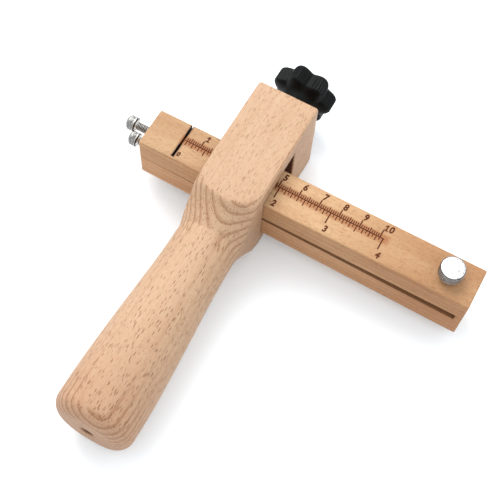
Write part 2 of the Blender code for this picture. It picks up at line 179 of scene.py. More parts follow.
def loft_data(rings):
    """Points and faces of a skin over rings; flat ends close it."""
    count = len(rings[0])
    points = [p for ring in rings for p in ring]
    faces = []
    for r in range(len(rings) - 1):
        low, high = r * count, (r + 1) * count
        for i in range(count):
            j = (i + 1) % count
            faces.append((low + i, low + j, high + j, high + i))
    faces.append(tuple(reversed(range(count))))
    faces.append(tuple(range((len(rings) - 1) * count, len(rings) * count)))
    return points, faces


def outward(piece):
    """Turn the faces out, whichever way the rings ran."""
    mesh = piece.data
    volume = 0.0
    for face in mesh.polygons:
        first = mesh.vertices[face.vertices[0]].co
        for k in range(1, len(face.vertices) - 1):
            second = mesh.vertices[face.vertices[k]].co
            third = mesh.vertices[face.vertices[k + 1]].co
            volume += first.dot(second.cross(third))
    if volume < 0:
        mesh.flip_normals()
    return piece


def loft(name, rings, sharp=30.0):
    points, faces = loft_data(rings)
    return outward(mesh_piece(name, points, faces, sharp))


def along(axis, distance, u, v):
    """u and v lie across the axis: Y and Z for X, Z and X for Y, X and Y for Z."""
    if axis == "X":
        return (distance, u, v)
    if axis == "Y":
        return (v, distance, u)
    return (u, v, distance)


def round_point(axis, distance, centre, radius, angle):
    return along(axis, distance, centre[0] + radius * math.cos(angle), centre[1] + radius * math.sin(angle))


def turned_rings(axis, profile, centre, steps):
    angles = [2 * math.pi * i / steps for i in range(steps)]
    return [[round_point(axis, distance, centre, radius, angle) for angle in angles]
            for distance, radius in profile]


def turned(name, axis, profile, centre, steps=48, sharp=30.0):
    return loft(name, turned_rings(axis, profile, centre, steps), sharp)


def rounded_rect(half_u, half_v, top, bottom, arc=4, splits=(0, 0)):
    """Outline of an oblong, anticlockwise, with its own corner radius above and below."""
    arcs = []
    for corner, (sign_u, sign_v) in enumerate(((1, 1), (-1, 1), (-1, -1), (1, -1))):
        radius = top if sign_v > 0 else bottom
        turns = [math.pi / 2 * (corner + step / arc) for step in range(arc + 1)]
        arcs.append([(sign_u * (half_u - radius) + radius * math.cos(turn),
                      sign_v * (half_v - radius) + radius * math.sin(turn)) for turn in turns])
    outline = []
    for corner, points in enumerate(arcs):
        outline += points
        start, stop = points[-1], arcs[(corner + 1) % 4][0]
        extra = splits[corner % 2]
        for k in range(1, extra + 1):
            share = k / (extra + 1)
            outline.append(tuple(a + (b - a) * share for a, b in zip(start, stop)))
    return outline


def apply_modifiers(piece, sharp=30.0):
    graph = bpy.context.evaluated_depsgraph_get()
    graph.update()
    mesh = bpy.data.meshes.new_from_object(piece.evaluated_get(graph))
    piece.modifiers.clear()
    piece.data = mesh
    mesh.shade_smooth()
    mesh.set_sharp_from_angle(angle=math.radians(sharp))


def carve(piece, *cutters, sharp=30.0):
    for cutter in cutters:
        modifier = piece.modifiers.new("cut", "BOOLEAN")
        modifier.operation = "DIFFERENCE"
        modifier.solver = "EXACT"
        modifier.object = cutter
    apply_modifiers(piece, sharp)
    for cutter in cutters:
        bpy.data.objects.remove(cutter, do_unlink=True)


def join(name, pieces):
    """One object out of several closed ones that don't touch."""
    points, faces = [], []
    for piece in pieces:
        base = len(points)
        points += [tuple(v.co) for v in piece.data.vertices]
        faces += [tuple(base + i for i in f.vertices) for f in piece.data.polygons]
        bpy.data.objects.remove(piece, do_unlink=True)
    return mesh_piece(name, [(x / MM, y / MM, z / MM) for x, y, z in points], faces)


def place(piece, material, body, slot, *nodes):
    piece.data.materials.clear()
    piece.data.materials.append(material)
    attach(piece, body)
    if nodes:
        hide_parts(*nodes)
    return piece


def ease(share):
    share = min(max(share, 0.0), 1.0)
    return (1 - math.cos(math.pi * share)) / 2


def soft_min(a, b, width):
    gap = max(width - abs(a - b), 0.0) / width
    return min(a, b) - gap * gap * width / 4


# ---------------------------------------------------------------- materials

class Shader:
    """Short notation for a node material."""

    def __init__(self, name):
        self.material = bpy.data.materials.new(name)
        self.material.use_nodes = True
        self.tree = self.material.node_tree
        self.surface = self.tree.nodes["Principled BSDF"]

    def node(self, kind, settings=None, **sockets):
        made = self.tree.nodes.new("ShaderNode" + kind)
        for key, value in (settings or {}).items():
            setattr(made, key, value)
        for key, value in sockets.items():
            index = int(key[1:]) if key[0] == "i" and key[1:].isdigit() else key.replace("_", " ")
            self.feed(made.inputs[index], value)
        return made

    def feed(self, socket, value):
        if isinstance(value, bpy.types.NodeSocket):
            self.tree.links.new(value, socket)
        else:
            socket.default_value = value

    def maths(self, operation, a, b=0.0):
        return self.node("Math", {"operation": operation}, i0=a, i1=b).outputs[0]

    def plus(self, a, b):
        return self.maths("ADD", a, b)

    def minus(self, a, b):
        return self.maths("SUBTRACT", a, b)

    def times(self, first, *others):
        product = first
        for other in others:
            product = self.maths("MULTIPLY", product, other)
        return product

    def length(self, u, v):
        return self.maths("SQRT", self.plus(self.times(u, u), self.times(v, v)))

    def vector(self, operation, a, b):
        return self.node("VectorMath", {"operation": operation}, i0=a, i1=b).outputs[0]

    def millimetres(self):
        coordinates = self.node("TexCoord").outputs["Object"]
        return self.vector("MULTIPLY", coordinates, (1000.0, 1000.0, 1000.0))

    def noise(self, vector, scale, detail=2.0, roughness=0.5, distortion=0.0):
        made = self.node("TexNoise", None, Vector=vector, Scale=scale, Detail=detail, Roughness=roughness,
                         Distortion=distortion)
        return made.outputs[0]

    def voronoi(self, vector):
        made = self.node("TexVoronoi", None, Vector=vector, Scale=1.0, Randomness=1.0)
        return made.outputs["Distance"], made.outputs["Color"]

    def span(self, value, low, high, to_low=0.0, to_high=1.0, smooth=True):
        kind = "SMOOTHSTEP" if smooth else "LINEAR"
        made = self.node("MapRange", {"interpolation_type": kind}, i0=value, i1=low, i2=high, i3=to_low,
                         i4=to_high)
        return made.outputs[0]

    def mix(self, share, a, b, kind="MIX"):
        made = self.node("Mix", {"data_type": "RGBA", "blend_type": kind})
        self.feed(made.inputs[0], share)
        for socket, value in ((made.inputs[6], a), (made.inputs[7], b)):
            if isinstance(value, tuple) and len(value) == 3:
                value = (*value, 1.0)
            self.feed(socket, value)
        return made.outputs[2]

    def split(self, vector):
        made = self.node("SeparateXYZ", None, i0=vector)
        return made.outputs[0], made.outputs[1], made.outputs[2]

    def bump(self, height, strength, distance):
        made = self.node("Bump", None, Strength=strength, Distance=distance, Height=height)
        self.feed(self.surface.inputs["Normal"], made.outputs[0])

    def set(self, **sockets):
        for key, value in sockets.items():
            if isinstance(value, tuple) and len(value) == 3:
                value = (*value, 1.0)
            self.feed(self.surface.inputs[key.replace("_", " ")], value)


def beech(name, grain, tones, rings, fleck, seed, extra):
    """Oiled beech: drifting tone, growth rings, mottle, fine pores, and short dark flecks along the grain.

    tones are the light and the dark wood; rings are the pith's place across the grain, the spacing, the
    strength and how fast they follow the grip's swelling; fleck is a fleck's cell across and
    lengthwise, its strength, and its share past the shoulder.
    """
    shade = Shader(name)
    where = shade.millimetres()
    moved = shade.vector("ADD", where, (seed, seed * 1.7, seed * 0.6))
    light, dark = tones
    pith_across, pith_z, spacing, strength, follow = rings
    fleck_width, fleck_length, fleck_strength, past_shoulder = fleck
    long_axis = {"X": 0, "Y": 1}[grain]

    def stretched(across, lengthwise):
        scale = [1.0 / across] * 3
        scale[long_axis] = 1.0 / lengthwise
        return shade.vector("MULTIPLY", moved, tuple(scale))

    def dashes(across, lengthwise, smallest, largest):
        cells, cell_colour = shade.voronoi(stretched(across, lengthwise))
        chance = shade.split(cell_colour)[0]
        size = shade.span(chance, 0.25, 1.0, smallest, largest, False)
        mark = shade.span(shade.maths("DIVIDE", cells, size), 1.1, 0.75)
        return shade.times(mark, shade.span(chance, 0.0, 0.6, 0.3, 1.0))

    tone = shade.noise(stretched(9.0, 60.0), 1.0, 3.0, 0.55, 0.4)
    streak = shade.noise(stretched(0.8, 24.0), 1.0, 3.0, 0.6)
    mottle = shade.noise(stretched(1.1, 3.2), 1.0, 2.0, 0.6)
    x, y, z = shade.split(where)
    across = x if grain == "Y" else y
    du = shade.minus(across, pith_across)
    along_grip = shade.maths("MINIMUM", shade.plus(y, -NECK_Y), 0.0)
    lift = shade.times(along_grip, follow)
    dv = shade.minus(shade.plus(z, lift), pith_z)
    radius = shade.length(du, dv)
    wander = shade.noise(stretched(16.0, 80.0), 1.0, 2.0)
    radius = shade.plus(radius, shade.times(wander, 3.0))
    radius = shade.plus(radius, shade.times(mottle, 0.6))
    ring = shade.maths("FRACT", shade.times(radius, 1 / spacing))
    late_wood = shade.times(shade.span(ring, 0.45, 0.90), shade.span(ring, 1.0, 0.93))
    facing = shade.split(shade.node("TexCoord").outputs["Normal"])[2]
    flat_sawn = shade.span(shade.maths("ABSOLUTE", facing), 0.99, 0.90, 0.12, 1.0)
    late_wood = shade.times(late_wood, flat_sawn)
    faint = shade.times(inside_span(shade, y, -108.0, -44.0, 12.0), 0.72)
    late_wood = shade.times(late_wood, shade.minus(1.0, faint))
    flecks = dashes(fleck_width, fleck_length, 0.20, 0.42)
    flecks = shade.times(flecks, shade.span(shade.noise(stretched(0.9, 6.0), 1.0, 1.0), 0.36, 0.50))
    flecks = shade.times(flecks, shade.span(y, -26.0, -10.0, 1.0, past_shoulder))
    pores = dashes(0.36, 2.0, 0.20, 0.42)

    umber = (dark[0] * 0.60, dark[1] * 0.43, dark[2] * 0.34)
    colour = shade.mix(shade.span(tone, 0.3, 0.72), light, dark)
    colour = shade.mix(shade.times(shade.span(mottle, 0.40, 0.72), 0.38), colour,
                       (dark[0] * 0.97, dark[1] * 0.83, dark[2] * 0.77))
    colour = shade.mix(shade.times(shade.span(streak, 0.42, 0.78), 0.30), colour,
                       tuple(c * 0.80 for c in dark))
    colour = shade.mix(shade.times(late_wood, strength), colour, umber)
    colour = shade.mix(shade.times(pores, 0.30), colour, umber)
    colour = shade.mix(shade.times(flecks, fleck_strength), colour, FLECK)
    rough = shade.span(streak, 0.2, 0.8, 0.50, 0.66, False)
    colour = extra(shade, where, colour)
    height = shade.minus(shade.times(streak, 0.5),
                         shade.plus(shade.times(flecks, 0.8), shade.times(pores, 0.4)))
    shade.bump(height, 0.45, 0.00012)
    shade.set(Base_Color=colour, Roughness=rough, Specular_IOR_Level=0.28)
    return shade.material


def inside_span(shade, value, low, high, soft):
    """1 between low and high, easing to 0 over a soft margin outside them."""
    return shade.times(shade.span(value, low - soft, low), shade.span(value, high + soft, high))


def chopped_mortise(shade, where, colour):
    """Painted shade darkens the inside of the mortise and the hang hole, and the grip is darker towards its
    end.
    """
    x, y, z = shade.split(where)
    # painted shade inside the mortise
    mortise = shade.times(inside_span(shade, y, MORTISE_Y[0] - 0.05, MORTISE_Y[1] + 0.05, 0.1),
                          inside_span(shade, z, MORTISE_Z[0] - 0.05, MORTISE_Z[1] + 0.05, 0.1))
    mortise = shade.times(mortise, inside_span(shade, x, -14.5, 14.5, 0.5))
    colour = shade.mix(shade.times(mortise, 0.90), colour, MORTISE_SHADE)
    # painted shade inside the hang hole
    hole_z = shade.minus(z, AXIS_Z - GRIP_DROP)
    from_axis = shade.length(x, hole_z)
    hole = shade.times(shade.span(from_axis, HANG_RADIUS + 0.6, HANG_RADIUS + 0.1),
                       shade.span(y, GRIP_END_Y + 15, GRIP_END_Y + 14))
    # the grip is darker towards its end
    darker_end = shade.mix(1.0, colour, (0.92, 0.86, 0.84), "MULTIPLY")
    colour = shade.mix(shade.span(y, -70.0, GRIP_END_Y), colour, darker_end)
    return shade.mix(shade.times(hole, 0.88), colour, HANG_HOLE_SHADE)


def scorch(shade, where, colour):
    """The rails are lighter in the middle of their length and darker and redder towards the right end.
    Painted light and shade make their near flank lighter at the left and darker and redder at the right,
    and painted shade darkens the gap between them.

    Painted shade makes the blade's slit black, a brown band lies beside it, and the wood is toasted
    under the ruler's ticks.
    """
    x, y, z = shade.split(where)
    # lighter in the middle of the rails' length, darker and redder towards the right end
    drift = shade.mix(shade.span(x, -30.0, 25.0), (0.96, 0.95, 0.94), (1.12, 1.13, 1.12))
    drift = shade.mix(shade.span(x, 35.0, 100.0), drift, (0.90, 0.80, 0.72))
    colour = shade.mix(1.0, colour, drift, "MULTIPLY")
    # painted light and shade on the near flank: lighter at the left, darker and redder at the right
    painted_flank_shading = shade.mix(shade.span(x, -20.0, 20.0), (1.18, 1.11, 1.02), (0.98, 0.90, 0.82))
    painted_flank_shading = shade.mix(1.0, colour, painted_flank_shading, "MULTIPLY")
    colour = shade.mix(shade.span(y, 0.1 - BAR_HALF, -BAR_HALF), colour, painted_flank_shading)
    # painted shade in the gap between the rails
    from_left = shade.minus(x, BAR_LEFT)
    above = shade.plus(shade.minus(z, LOWER_Z + RAIL_HEIGHT), shade.times(from_left, SLOPE))
    below = shade.minus(shade.minus(z, UPPER_LEFT_Z), shade.times(from_left, TILT))
    gap = shade.times(shade.span(above, -0.25, 0.0), shade.span(below, 0.30, 0.05))
    gap = shade.times(gap, shade.span(x, 2.0, 20.0))
    gap = shade.times(gap, shade.span(x, BAR_RIGHT - STEP_LENGTH + 0.2, BAR_RIGHT - STEP_LENGTH - 0.2))
    colour = shade.mix(shade.times(gap, 0.60), colour, GAP_SHADE)
    # painted shade makes the slit and its rim black; a brown band lies beside it
    wobble = shade.times(shade.minus(shade.noise(where, 0.9, 2.0), 0.5), 0.5)
    slit_length = shade.span(y, SLIT_NEAR_Y - 0.35, SLIT_NEAR_Y + 0.1)
    off_slit = shade.plus(shade.maths("ABSOLUTE", shade.minus(x, SLIT_X)), wobble)
    inside = shade.times(shade.span(off_slit, SLIT_HALF + 0.28, SLIT_HALF - 0.02), slit_length)
    beside = shade.times(shade.span(off_slit, SLIT_HALF + 1.3, SLIT_HALF + 0.1), slit_length)
    colour = shade.mix(shade.times(beside, 0.42), colour, SLIT_SIDE_BROWN)
    colour = shade.mix(inside, colour, SLIT_SHADE)
    across = shade.maths("ABSOLUTE", shade.minus(y, BASELINE_Y - 0.1))
    band = shade.span(shade.plus(across, shade.times(wobble, 1.6)), 3.3, 1.2)
    band = shade.times(band, shade.span(x, RULER_ZERO - 0.6, RULER_ZERO + 0.6))
    band = shade.times(band, shade.span(x, RULER_ZERO + 106.0, RULER_ZERO + 102.5))
    band = shade.times(band, shade.span(z, 31.0, 33.0))
    return shade.mix(shade.times(band, 0.70), colour, TOASTED)


def burnt(name):
    """Burnt-in ink: brown-black with paler patches."""
    shade = Shader(name)
    where = shade.millimetres()
    patch = shade.noise(where, 1.3, 3.0, 0.6)
    colour = shade.mix(shade.span(patch, 0.35, 0.75), (0.062, 0.016, 0.006), (0.150, 0.040, 0.013))
    rough = shade.span(patch, 0.2, 0.8, 0.75, 0.9, False)
    shade.set(Base_Color=colour, Roughness=rough, Specular_IOR_Level=0.2)
    shade.bump(patch, 0.3, 0.00005)
    return shade.material


def plated(name, colour, rough, axis, centre, grooves, grime=0.2):
    """Plated metal: fine tool lines round its axis, smears, and painted shade in its grooves.

    centre is the axis' place across; grooves lists (bottom radius, top radius, from, to along the axis).
    The two zinc screws share one material, so both are folded onto one axis between them.
    """
    shade = Shader(name)
    where = shade.millimetres()
    x, y, z = shade.split(where)
    distance, u, v = {"X": (x, y, z), "Y": (y, z, x), "Z": (z, x, y)}[axis]
    if name == "zinc_steel":
        v = shade.minus(shade.maths("ABSOLUTE", shade.minus(v, SCREW_MIDDLE_Z)), SCREW_OFFSET_Z)
    du = shade.minus(u, centre[0])
    dv = shade.minus(v, centre[1])
    radius = shade.length(du, dv)
    stripes = shade.node("CombineXYZ", None, i0=shade.times(distance, 9.0), i1=0.0, i2=0.0).outputs[0]
    lines = shade.noise(stripes, 1.0, 2.0)
    smear = shade.noise(where, 0.45, 4.0, 0.6, 0.5)
    spots = shade.span(shade.noise(where, 1.3, 2.0, 0.55), 0.60, 0.66)
    dulled = shade.times(shade.span(smear, 0.45, 0.85), grime * 0.5)
    tint = shade.mix(dulled, colour, tuple(c * 0.55 for c in colour))
    tint = shade.mix(shade.times(spots, grime * 2), tint, METAL_SPOT)
    # painted shade in the grooves of threads and knurling
    for low, high, start, stop in grooves:
        depth = shade.span(radius, high - 0.02, low + 0.04)
        groove_shade = shade.times(depth, inside_span(shade, distance, start, stop, 0.1),
                           shade.span(radius, low - 0.4, low - 0.2))
        tint = shade.mix(shade.times(groove_shade, 0.93), tint, GROOVE_SHADE)
    # painted shade along the blade's top edge, where it sits in the slit
    if name == "blade_steel":
        tint = shade.mix(shade.span(z, BLADE_TOP - 2.2, BLADE_TOP - 0.8), tint, BLADE_TOP_SHADE)
    roughness = shade.plus(shade.span(smear, 0.3, 0.75, rough * 0.75, rough * 1.3, False),
                           shade.times(spots, 0.2))
    shade.set(Base_Color=tint, Roughness=roughness, Metallic=1.0)
    shade.bump(shade.plus(lines, shade.times(smear, 0.4)), 0.12, 0.00005)
    return shade.material


def moulded(name):
    """Black moulded plastic: fine spark texture, and a painted grey highlight on the raised parts."""
    shade = Shader(name)
    where = shade.millimetres()
    grain_fine = shade.noise(where, 4.5, 3.0, 0.6)
    cloud = shade.noise(where, 0.25, 3.0, 0.5)
    edge = shade.node("NewGeometry").outputs["Pointiness"]
    # painted highlight on the raised edges of the ribs and lobes
    ridge_highlight = shade.times(shade.span(edge, 0.52, 0.60), shade.span(cloud, 0.35, 0.65))
    colour = shade.mix(shade.span(cloud, 0.3, 0.7), (0.0020, 0.0023, 0.0023), (0.0045, 0.0048, 0.005))
    colour = shade.mix(shade.times(ridge_highlight, 0.5), colour, (0.03, 0.03, 0.03))
    rough = shade.span(cloud, 0.2, 0.8, 0.34, 0.48, False)
    shade.set(Base_Color=colour, Roughness=rough, Specular_IOR_Level=0.10)
    shade.bump(grain_fine, 0.25, 0.00008)
    return shade.material


handle_wood = beech("handle_beech", "Y", ((0.532, 0.355, 0.228), (0.500, 0.320, 0.198)),
                    (9.0, 56.0, 2.9, 0.66, 0.035), (0.56, 3.5, 0.80, 0.62), 3.0, chopped_mortise)
upper_wood = beech("upper_rail_beech", "X", ((0.500, 0.318, 0.175), (0.425, 0.246, 0.125)),
                   (40.0, -60.0, 3.1, 0.26, 0.0), (0.7, 3.2, 0.30, 1.0), 41.0, scorch)
lower_wood = beech("lower_rail_beech", "X", ((0.515, 0.318, 0.180), (0.440, 0.246, 0.126)),
                   (-50.0, 70.0, 2.7, 0.26, 0.0), (0.7, 3.2, 0.30, 1.0), 87.0, scorch)
burnt_ink = burnt("burnt_marks")
zinc = plated("zinc_steel", (0.52, 0.52, 0.51), 0.20, "X", (0.0, 0.0),
              [(3.28, 3.68, BAR_LEFT - 10.8, BAR_LEFT - 8.2), (2.60, 3.6, BAR_LEFT - 12.0, BAR_LEFT - 11.1),
               (3.20, 3.9, BAR_LEFT - 7.9, BAR_LEFT - 7.3),
               (1.66, 2.0, BAR_LEFT - 7.0, SLIT_X)])
nickel = plated("nickel_plate", (0.76, 0.75, 0.74), 0.18, "Z", (THUMB_X, 0.0),
                [(5.34, 5.92, 37.0, 43.75), (1.66, 2.0, 10.0, 36.5)], 0.35)
stud_steel = plated("stud_steel", (0.50, 0.50, 0.49), 0.30, "Y", (CLAMP_Z, 0.0),
                    [(3.4, 4.0, 15.0, KNOB_HUB_Y)])
oiled_steel = plated("blade_steel", (0.13, 0.13, 0.135), 0.36, "Z", (0.0, 0.0), [])
turned_brass = plated("brass", (0.60, 0.43, 0.19), 0.30, "X", (0.0, 0.0), [])
black_plastic = moulded("black_plastic")


# ---------------------------------------------------------------- handle

def turned_reach(y):
    """The turned grip's radius at y: a rounded end, a long taper, the neck, and the flare to the head."""
    if y < GRIP_END_Y + GRIP_END_ROUND:
        depth = (GRIP_END_Y + GRIP_END_ROUND - y) / GRIP_END_ROUND
        return GRIP_FULL_RADIUS - GRIP_END_ROUND * (1 - math.sqrt(max(0.0, 1 - depth ** 2)))
    if y < NECK_Y:
        return NECK_RADIUS + (GRIP_FULL_RADIUS - NECK_RADIUS) * ease((NECK_Y - y) / (NECK_Y - GRIP_FULL_Y))
    if y < SHOULDER_BREAK_Y:
        share = (y - NECK_Y) / (SHOULDER_BREAK_Y - NECK_Y)
        return NECK_RADIUS + (SHOULDER_BREAK - NECK_RADIUS) * share * (0.45 + 0.55 * share)
    share = (y - SHOULDER_BREAK_Y) / (SHOULDER_Y - SHOULDER_BREAK_Y)
    return SHOULDER_BREAK + (SHOULDER_CREST - SHOULDER_BREAK) * share


def block_reach(angle, half_width, half_height, edge):
    """How far the head block's outline with rounded edges lies from its axis, in this direction."""
    across, upward = abs(math.cos(angle)), abs(math.sin(angle))
    corner_u, corner_v = half_width - edge, half_height - edge
    if upward * half_width <= across * corner_v:
        return half_width / across
    if across * half_height <= upward * corner_u:
        return half_height / upward
    middle = across * corner_u + upward * corner_v
    return middle + math.sqrt(middle ** 2 - corner_u ** 2 - corner_v ** 2 + edge ** 2)


def handle_angles(even_steps=176):
    """Even steps round the handle, with closer ones at the head block's four edges."""
    corner = math.atan2(HEAD_HALF_HEIGHT, HEAD_HALF_WIDTH)
    angles = [2 * math.pi * i / even_steps for i in range(even_steps)]
    for middle in (corner, math.pi - corner, math.pi + corner, -corner):
        angles = [a for a in angles if abs(math.remainder(a - middle, 2 * math.pi)) > math.radians(3.4)]
        angles += [(middle + math.radians(o / 2.0)) % (2 * math.pi) for o in range(-6, 7)]
    return sorted(angles)


def hand_sanded(x, y, z):
    """Slight unevenness of a surface sanded by hand."""
    broad = noise.noise(Vector((x / 11, y / 16, z / 11)))
    fine = noise.noise(Vector((x / 3, y / 5, z / 3)))
    return 0.10 * broad + 0.03 * fine


def handle_ring(y, angles, inset=0.0):
    """The handle's outline at y: the head block, cut down by the turned grip where that is smaller."""
    widening = 0.6 * max(0.0, NECK_Y - y)
    half_width = HEAD_HALF_WIDTH - inset + widening
    half_height = HEAD_HALF_HEIGHT - inset + widening
    fade = min(1.0, max(0.0, (NECK_Y - y) / 30))
    fullness = ease((NECK_Y - y) / (NECK_Y - GRIP_FULL_Y))
    middle_z = AXIS_Z - GRIP_DROP * fullness
    tallness = 1 + GRIP_TALLNESS * fullness
    ring = []
    for angle in angles:
        reach = block_reach(angle, half_width, half_height, HEAD_EDGE)
        if y < SHOULDER_Y + 3:
            limit = turned_reach(min(y, SHOULDER_Y)) + max(0.0, y - SHOULDER_Y) * 0.4
            limit *= 1 + 0.035 * fade * (1 - math.cos(4 * angle)) / 2
            reach = soft_min(reach, limit, 1.1)
        u, v = reach * math.sin(angle), reach * math.cos(angle)
        reach += hand_sanded(v, y, u) * (1.0 if y < -20 else 0.35)
        ring.append(along("Y", y, middle_z + tallness * reach * math.sin(angle), reach * math.cos(angle)))
    return ring


def handle_stations():
    stations = []
    for step in range(14):
        angle = math.pi / 2 * step / 14
        stations.append(GRIP_END_Y + GRIP_END_ROUND * (1 - math.cos(angle)))
    for start, stop, steps in ((GRIP_END_Y + GRIP_END_ROUND, NECK_Y - 4, 34),
                               (NECK_Y - 4, SHOULDER_Y + 3, 44),
                               (SHOULDER_Y + 3, HEAD_FRONT - HEAD_EDGE, 14)):
        stations += [start + (stop - start) * k / steps for k in range(steps)]
    return stations


def flared_box_x(name, y_range, z_range, radius, wall_x, flare):
    """A cutter along X whose mouths open out, so the hole's edges come out softly broken."""
    mid_y, mid_z = sum(y_range) / 2, sum(z_range) / 2
    half_y, half_z = (y_range[1] - y_range[0]) / 2, (z_range[1] - z_range[0]) / 2
    half_profile = [(wall_x - flare * 1.2, 0.0), (wall_x - flare * 0.75, flare * 0.08),
                    (wall_x - flare * 0.35, flare * 0.3), (wall_x, flare * 0.75),
                    (wall_x + 6, flare * 0.75 + 7)]
    profile = [(-x, grow) for x, grow in reversed(half_profile)] + half_profile
    rings = []
    for x, grow in profile:
        outline = rounded_rect(half_y + grow, half_z + grow, radius + grow, radius + grow)
        rings.append([(x, mid_y + u, mid_z + v) for u, v in outline])
    return loft(name, rings)


angles = handle_angles()
handle_rings = [handle_ring(y, angles) for y in handle_stations()]
for step in range(1, 6):
    turn = math.pi / 2 * step / 5
    handle_rings.append(handle_ring(HEAD_FRONT - HEAD_EDGE * (1 - math.sin(turn)), angles,
                                    HEAD_EDGE * (1 - math.cos(turn))))
handle_look = loft("handle_look", handle_rings)
mouth = flared_box_x("mouth", MORTISE_Y, MORTISE_Z, 0.5, HEAD_HALF_WIDTH, 0.7)
bore_profile = [(15.0, 4.7), (26.5, 4.7), (26.55, 6.3), (HEAD_FRONT - 0.8, 6.3), (HEAD_FRONT - 0.2, 6.5),
                (HEAD_FRONT + 1.3, 8.0)]
bore = turned("bore", "Y", bore_profile, (CLAMP_Z, 0.0), 48)
hole_profile = [(GRIP_END_Y - 3.5, HANG_RADIUS + 3.5), (GRIP_END_Y + 0.2, HANG_RADIUS + 0.5),
                (GRIP_END_Y + 0.8, HANG_RADIUS), (GRIP_END_Y + 14, HANG_RADIUS - 0.1)]
hang_hole = turned("hang_hole", "Y", hole_profile, (AXIS_Z - GRIP_DROP, 0.0), 32)
carve(handle_look, mouth, bore, hang_hole, sharp=35.0)
place(handle_look, handle_wood, "handle", "handle_beech", "handle")


# ---------------------------------------------------------------- rails

def lower_fall(x):
    return SLOPE * (x - BAR_LEFT)


def lower_top(x):
    """The left end stands a little prouder, so that the rails close there with hardly a seam."""
    on_step = ease((x - BAR_RIGHT + STEP_LENGTH) / 0.5 + 0.5)
    shut = 0.2 * ease((5.0 - x) / 20.0)
    level = LOWER_Z + RAIL_HEIGHT
    return level + (shut - lower_fall(x)) * (1 - on_step) + UPPER_RISE * on_step


def upper_top(x):
    return UPPER_LEFT_Z + TILT * (x - BAR_LEFT) + RAIL_HEIGHT


def rail_stations(extra=()):
    """(x, inset) pairs along a rail: both ends are rounded over by RAIL_EDGE."""
    turns = [math.pi / 2 * k / 4 for k in range(5)]
    rounding = [(RAIL_EDGE * (1 - math.cos(turn)), RAIL_EDGE * (1 - math.sin(turn))) for turn in turns]
    inner = [BAR_LEFT + RAIL_EDGE + (BAR_RIGHT - BAR_LEFT - 2 * RAIL_EDGE) * k / 80 for k in range(1, 80)]
    stations = [(BAR_LEFT + step, inset) for step, inset in rounding]
    stations += [(x, 0.0) for x in sorted(inner + list(extra))]
    stations += [(BAR_RIGHT - step, inset) for step, inset in reversed(rounding)]
    return stations


def rail(name, bottom_of, top_of, edges, extra=()):
    """A rail of 20 mm depth; edges are the radii of its top and bottom edges."""
    rings = []
    for x, inset in rail_stations(extra):
        low, high = bottom_of(x), top_of(x)
        half = (high - low) / 2 - inset
        outline = rounded_rect(BAR_HALF - inset, half, edges[0], edges[1], 4, (9, 5))
        ring = []
        for u, v in outline:
            sag = 0.03 * noise.noise(Vector((x / 14, u / 7, v / 7 + high)))
            ring.append((x, u * (1 + sag / 10), (low + high) / 2 + v * (1 + sag / 8)))
        rings.append(ring)
    return loft(name, rings)


def slit_cutter(name, low, high):
    """The blade's slit, from near the front of the bar to past its back."""
    rings = []
    for z in (low, high):
        outline = rounded_rect(SLIT_LOOK_HALF, SLIT_HALF_LENGTH, 0.25, 0.25, 3)
        rings.append([(SLIT_X + u, SLIT_NEAR_Y + SLIT_HALF_LENGTH + v, z) for u, v in outline])
    return loft(name, rings)


def end_bore(name, height):
    profile = [(BAR_LEFT - 2, 5.5), (BAR_LEFT + 0.05, 3.45), (BAR_LEFT + 0.3, 3.25), (BAR_LEFT + 9.8, 3.25),
               (BAR_LEFT + 9.85, 2.4), (SLIT_X, 2.4)]
    return turned(name, "X", profile, (0.0, height), 32)


step_x = BAR_RIGHT - STEP_LENGTH
lower_look = rail("lower_rail_look", lambda x: LOWER_Z - lower_fall(x), lower_top,
                  (RAIL_INNER_EDGE, RAIL_EDGE),
                  [step_x - 0.3, step_x - 0.15, step_x, step_x + 0.15, step_x + 0.3])
thumb_pocket = turned("pocket", "Z", [(3.2, 4.5), (7.7, 2.4), (10.4, 2.4), (10.45, 3.3), (26.0, 3.3)],
                      (THUMB_X, 0.0), 32)
carve(lower_look, slit_cutter("slit_a", 2.0, 30.0), end_bore("bore_a", LOWER_SCREW_Z), thumb_pocket,
      sharp=35.0)
place(lower_look, lower_wood, "crossbar", "rail_beech", "lower_rail")

upper_look = rail("upper_rail_look", lambda x: upper_top(x) - RAIL_HEIGHT, upper_top,
                  (RAIL_EDGE, RAIL_INNER_EDGE))
thumb_hole = turned("thumb_hole", "Z", [(15.0, 2.4), (35.9, 2.4), (36.35, 2.75), (40.0, 6.4)],
                    (THUMB_X, 0.0), 32)
carve(upper_look, slit_cutter("slit_b", 15.0, 45.0), end_bore("bore_b", UPPER_SCREW_Z), thumb_hole,
      sharp=35.0)
place(upper_look, upper_wood, "upper_rail", "rail_beech", "upper_rail")


# ---------------------------------------------------------------- ruler

def stroke(points, faces, corners):
    """A thin flat mark let into the rail's top, from corners (x, y) in order."""
    base = len(points)
    count = len(corners)
    points += [(x, y, upper_top(x) - MARK_SUNK) for x, y in corners]
    points += [(x, y, upper_top(x) + MARK_PROUD) for x, y in corners]
    faces.append(tuple(base + i for i in reversed(range(count))))
    faces.append(tuple(base + count + i for i in range(count)))
    for i in range(count):
        j = (i + 1) % count
        faces.append((base + i, base + j, base + count + j, base + count + i))


def bar_mark(points, faces, x, y_from, y_to, width):
    wave = 0.05 * noise.noise(Vector((x * 1.7, y_from, 3.1)))
    half = width / 2
    stroke(points, faces, [(x - half + wave, y_from), (x + half + wave, y_from),
                           (x + half - wave, y_to), (x - half - wave, y_to)])


def mark_size(count, sizes):
    return next((length, width) for divisor, length, width in sizes if count % divisor == 0)


